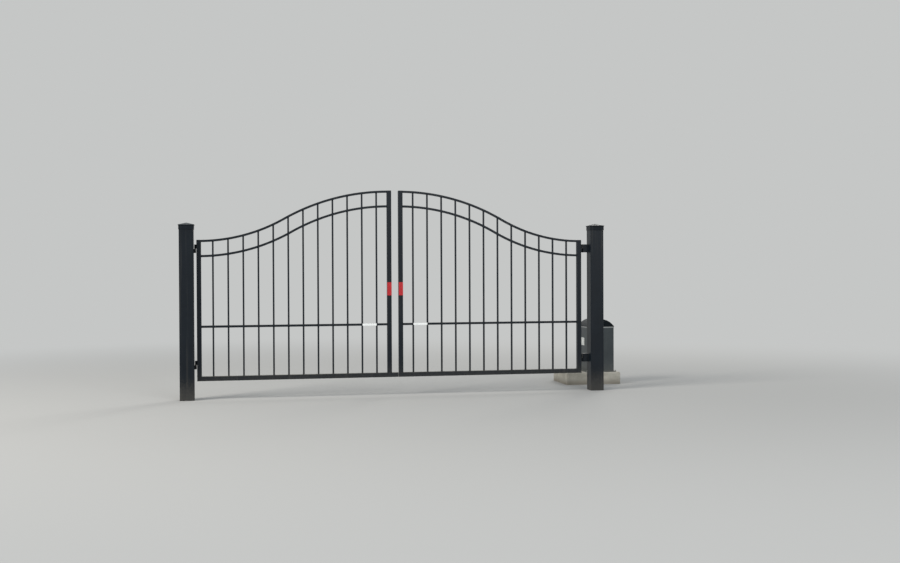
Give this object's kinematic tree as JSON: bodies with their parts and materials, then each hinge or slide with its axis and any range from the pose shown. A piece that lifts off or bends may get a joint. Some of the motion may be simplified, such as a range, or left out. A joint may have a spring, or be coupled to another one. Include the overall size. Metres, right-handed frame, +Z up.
{
  "type": "wrought iron driveway gate",
  "caption": "Double swing driveway gate with square posts, picketed leaves under reverse-curve arched rails, barrel hinges and a pad-mounted operator cabinet.",
  "frame": {"origin": "middle of the left post's foot", "axes": "+X along the gate from the left post to the right post, +Y into the property (the way the leaves open), +Z up"},
  "size_m": [5.387, 1.289, 2.365],
  "materials": {
    "post_paint": "satin black powder coat, dusty near the foot",
    "cap_paint": "satin black powder coat, paler where dust lies",
    "leaf_paint": "satin black powder coat",
    "hinge_paint": "brushed-on black paint",
    "red_marker": "red reflective sheet",
    "white_marker": "white reflective sheet",
    "cabinet": "grey powder coat",
    "lid": "black moulded cover",
    "concrete": "cast concrete"
  },
  "bodies": {
    "posts": {"left_post": "post_paint", "left_post_cap": "cap_paint", "right_post": "post_paint", "right_post_cap": "cap_paint", "left_lower_hinge_seat": "hinge_paint", "left_upper_hinge_seat": "hinge_paint", "right_lower_hinge_seat": "hinge_paint", "right_upper_hinge_seat": "hinge_paint", "operator_pad": "concrete", "operator_cabinet": "cabinet", "operator_lid": "lid"},
    "left_leaf": {"left_hinge_stile": "leaf_paint", "left_meeting_stile": "leaf_paint", "left_bottom_rail": "leaf_paint", "left_mid_rail": "leaf_paint", "left_upper_arch_rail": "leaf_paint", "left_lower_arch_rail": "leaf_paint", "left_pickets": "leaf_paint", "left_lower_hinge_eye": "hinge_paint", "left_upper_hinge_eye": "hinge_paint", "left_red_marker": "red_marker", "left_white_marker": "white_marker"},
    "right_leaf": {"right_hinge_stile": "leaf_paint", "right_meeting_stile": "leaf_paint", "right_bottom_rail": "leaf_paint", "right_mid_rail": "leaf_paint", "right_upper_arch_rail": "leaf_paint", "right_lower_arch_rail": "leaf_paint", "right_pickets": "leaf_paint", "right_lower_hinge_eye": "hinge_paint", "right_upper_hinge_eye": "hinge_paint", "right_red_marker": "red_marker", "right_white_marker": "white_marker"}
  },
  "joints": [
    {"name": "left_leaf_hinge", "type": "hinge", "parent": "posts", "child": "left_leaf", "pos_m": [0.095, 0.038, 0.4], "axis": [0, 0, 1], "range_deg": [0, 90]},
    {"name": "right_leaf_hinge", "type": "hinge", "parent": "posts", "child": "right_leaf", "pos_m": [4.607, 0.038, 0.4], "axis": [0, 0, -1], "range_deg": [0, 90]}
  ]
}
